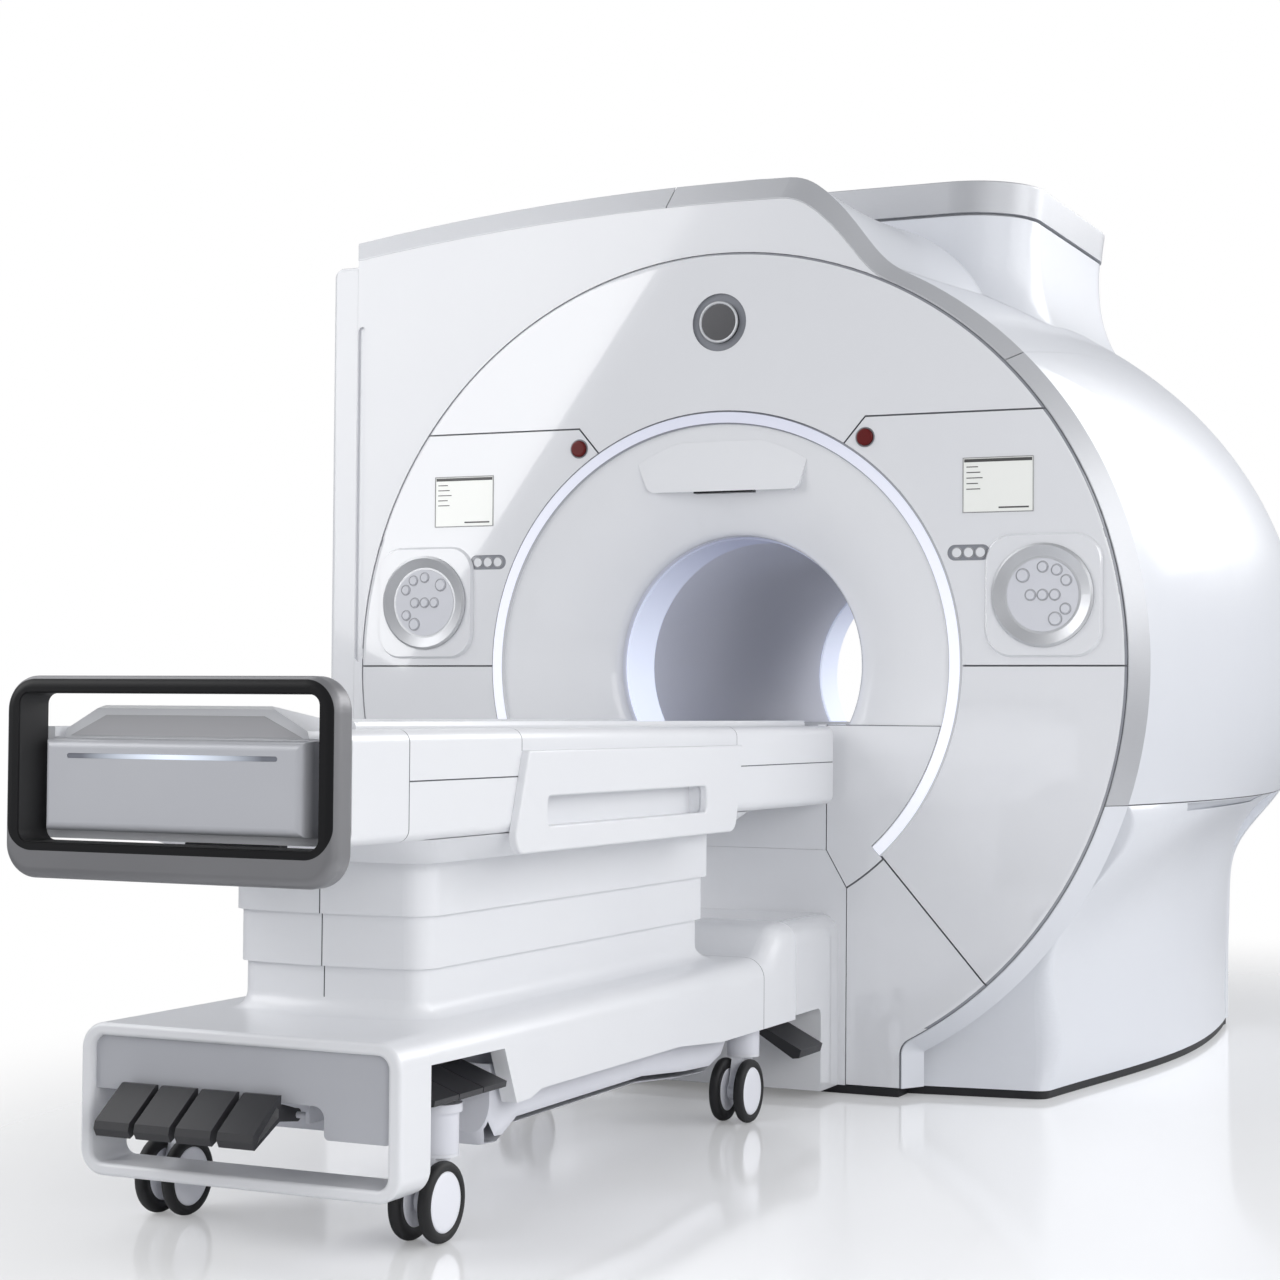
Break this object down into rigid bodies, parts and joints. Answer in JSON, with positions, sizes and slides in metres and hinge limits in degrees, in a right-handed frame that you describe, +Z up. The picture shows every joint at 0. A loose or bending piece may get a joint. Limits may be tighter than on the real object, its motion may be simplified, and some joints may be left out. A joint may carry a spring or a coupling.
{
  "type": "mri scanner",
  "caption": "Round-fronted magnet with a lit wide bore, control pads on both sides and a docked wheeled patient table that lifts, slides its cradle into the bore and rolls away.",
  "frame": {"origin": "on the floor, straight below the isocentre of the bore", "axes": "+X to the right of someone who stands at the table facing the bore, +Y along the bore away from the table, +Z up"},
  "size_m": [2.5906, 4.361, 2.435],
  "materials": {
    "front_cover_white": "gloss white moulded cover",
    "side_cover_white": "satin white painted cover",
    "table_white": "satin white moulded cover",
    "brushed_silver": "brushed silver trim",
    "dial_metal": "turned metal ring",
    "key_membrane": "pale membrane pad",
    "screen_glass": "bare backlit screen front",
    "stop_red": "deep red button",
    "badge_metal": "blank domed badge",
    "light_diffuser": "bluish white lit diffuser",
    "funnel_white": "gloss white funnel",
    "bore_white": "satin bore liner",
    "vessel_paint": "painted steel vessel",
    "coil_resin": "cast resin",
    "plinth_black": "black base frame",
    "housing_grey": "satin grey metallic housing",
    "loop_metal": "dark metallic grip loop",
    "panel_grey": "grey metallic panel",
    "chassis_grey": "pale grey frame and pan",
    "cradle_white": "satin white tabletop",
    "pedal_black": "charcoal pedal",
    "fork_white": "white caster fork",
    "tyre_black": "soft black tread"
  },
  "bodies": {
    "magnet": {"upper_fascia": "front_cover_white", "lower_fascias": "front_cover_white", "foot_panels": "front_cover_white", "left_console": "front_cover_white", "right_console": "front_cover_white", "console_screens": "screen_glass", "dial_bezels": "dial_metal", "key_pads": "key_membrane", "badge": "badge_metal", "light_rings": "light_diffuser", "front_shell": "front_cover_white", "column_cover": "front_cover_white", "edge_band": "brushed_silver", "front_funnel": "funnel_white", "bore_tube": "bore_white", "light_housing": "funnel_white", "bore_bridge": "front_cover_white", "bore_aprons": "front_cover_white", "dock_housing": "front_cover_white", "side_cover_right": "side_cover_white", "side_cover_left": "side_cover_white", "skirt_covers": "side_cover_white", "rear_cover": "side_cover_white", "rear_funnel": "funnel_white", "magnet_vessel": "vessel_paint", "gradient_coil": "coil_resin", "plinth": "plinth_black", "turret_cover": "side_cover_white", "turret_rim": "brushed_silver"},
    "table_base": {"base_covers": "table_white", "base_bezel": "table_white", "bezel_panel": "panel_grey", "chassis": "chassis_grey"},
    "column_middle": {"middle_shell": "table_white"},
    "table_top": {"upper_shell": "table_white", "table_deck": "table_white", "side_handles": "table_white", "end_housing": "housing_grey", "end_light": "light_diffuser", "push_handle": "loop_metal"},
    "stop_button_left": {"stop_button_left": "stop_red"},
    "stop_button_right": {"stop_button_right": "stop_red"},
    "cradle_body": {"cradle": "cradle_white"},
    "front_pedal_1": {"front_pedal_1": "pedal_black"},
    "front_pedal_2": {"front_pedal_2": "pedal_black"},
    "front_pedal_3": {"front_pedal_3": "pedal_black"},
    "front_pedal_4": {"front_pedal_4": "pedal_black"},
    "side_pedal_1": {"side_pedal_1": "pedal_black"},
    "side_pedal_2": {"side_pedal_2": "pedal_black"},
    "side_pedal_3": {"side_pedal_3": "pedal_black"},
    "dock_pedal": {"dock_pedal": "pedal_black"},
    "caster_fork_1": {"caster_fork_1": "fork_white"},
    "caster_fork_2": {"caster_fork_2": "fork_white"},
    "caster_fork_3": {"caster_fork_3": "fork_white"},
    "caster_fork_4": {"caster_fork_4": "fork_white"},
    "caster_wheels_1": {"caster_wheels_1": "tyre_black"},
    "caster_wheels_2": {"caster_wheels_2": "tyre_black"},
    "caster_wheels_3": {"caster_wheels_3": "tyre_black"},
    "caster_wheels_4": {"caster_wheels_4": "tyre_black"}
  },
  "joints": [
    {"name": "table_undock", "type": "slide", "parent": "magnet", "child": "table_base", "axis": [0, -1, 0], "range_m": [0, 1.5]},
    {"name": "column_lift", "type": "slide", "parent": "table_base", "child": "table_top", "axis": [0, 0, 1], "range_m": [-0.17, 0]},
    {"name": "column_middle_lift", "type": "slide", "parent": "table_base", "child": "column_middle", "axis": [0, 0, 1], "range_m": [-0.051, 0]},
    {"name": "cradle_slide", "type": "slide", "parent": "table_top", "child": "cradle_body", "axis": [0, 1, 0], "range_m": [0, 1.75]},
    {"name": "stop_left_press", "type": "slide", "parent": "magnet", "child": "stop_button_left", "axis": [0, 1, 0], "range_m": [0, 0.005], "stiffness_N_per_m": 1500, "springref_m": -0.004},
    {"name": "stop_right_press", "type": "slide", "parent": "magnet", "child": "stop_button_right", "axis": [0, 1, 0], "range_m": [0, 0.005], "stiffness_N_per_m": 1500, "springref_m": -0.004},
    {"name": "front_pedal_1_press", "type": "hinge", "parent": "table_base", "child": "front_pedal_1", "pos_m": [-0.205, -3.01, 0.236], "axis": [1, 0, 0], "range_deg": [0, 12], "stiffness_Nm_per_rad": 20, "springref_deg": -8.59},
    {"name": "front_pedal_2_press", "type": "hinge", "parent": "table_base", "child": "front_pedal_2", "pos_m": [-0.117, -3.01, 0.236], "axis": [1, 0, 0], "range_deg": [0, 12], "stiffness_Nm_per_rad": 20, "springref_deg": -8.59},
    {"name": "front_pedal_3_press", "type": "hinge", "parent": "table_base", "child": "front_pedal_3", "pos_m": [-0.028, -3.01, 0.236], "axis": [1, 0, 0], "range_deg": [0, 12], "stiffness_Nm_per_rad": 20, "springref_deg": -8.59},
    {"name": "front_pedal_4_press", "type": "hinge", "parent": "table_base", "child": "front_pedal_4", "pos_m": [0.062, -3.01, 0.236], "axis": [1, 0, 0], "range_deg": [0, 12], "stiffness_Nm_per_rad": 20, "springref_deg": -8.59},
    {"name": "side_pedal_1_press", "type": "hinge", "parent": "table_base", "child": "side_pedal_1", "pos_m": [0.205, -2.925, 0.303], "axis": [0, 1, 0], "range_deg": [0, 4], "stiffness_Nm_per_rad": 20, "springref_deg": -8.59},
    {"name": "side_pedal_2_press", "type": "hinge", "parent": "table_base", "child": "side_pedal_2", "pos_m": [0.205, -2.832, 0.303], "axis": [0, 1, 0], "range_deg": [0, 4], "stiffness_Nm_per_rad": 20, "springref_deg": -8.59},
    {"name": "side_pedal_3_press", "type": "hinge", "parent": "table_base", "child": "side_pedal_3", "pos_m": [0.205, -2.739, 0.303], "axis": [0, 1, 0], "range_deg": [0, 4], "stiffness_Nm_per_rad": 20, "springref_deg": -8.59},
    {"name": "dock_pedal_press", "type": "hinge", "parent": "table_base", "child": "dock_pedal", "pos_m": [0.215, -1.107, 0.208], "axis": [0, 1, 0], "range_deg": [0, 10], "stiffness_Nm_per_rad": 20, "springref_deg": -8.59},
    {"name": "caster_1_swivel", "type": "hinge", "parent": "table_base", "child": "caster_fork_1", "pos_m": [-0.28, -2.84, 0.158], "axis": [0, 0, 1], "continuous": true},
    {"name": "caster_1_roll", "type": "hinge", "parent": "caster_fork_1", "child": "caster_wheels_1", "pos_m": [-0.28, -2.88, 0.075], "axis": [1, 0, 0], "continuous": true},
    {"name": "caster_2_swivel", "type": "hinge", "parent": "table_base", "child": "caster_fork_2", "pos_m": [0.28, -2.84, 0.158], "axis": [0, 0, 1], "continuous": true},
    {"name": "caster_2_roll", "type": "hinge", "parent": "caster_fork_2", "child": "caster_wheels_2", "pos_m": [0.28, -2.88, 0.075], "axis": [1, 0, 0], "continuous": true},
    {"name": "caster_3_swivel", "type": "hinge", "parent": "table_base", "child": "caster_fork_3", "pos_m": [-0.28, -1.356, 0.158], "axis": [0, 0, 1], "continuous": true},
    {"name": "caster_3_roll", "type": "hinge", "parent": "caster_fork_3", "child": "caster_wheels_3", "pos_m": [-0.28, -1.396, 0.075], "axis": [1, 0, 0], "continuous": true},
    {"name": "caster_4_swivel", "type": "hinge", "parent": "table_base", "child": "caster_fork_4", "pos_m": [0.28, -1.356, 0.158], "axis": [0, 0, 1], "continuous": true},
    {"name": "caster_4_roll", "type": "hinge", "parent": "caster_fork_4", "child": "caster_wheels_4", "pos_m": [0.28, -1.396, 0.075], "axis": [1, 0, 0], "continuous": true}
  ],
  "couplings": [
    {"joint": "column_middle_lift", "follows": "column_lift", "ratio": 0.3}
  ]
}
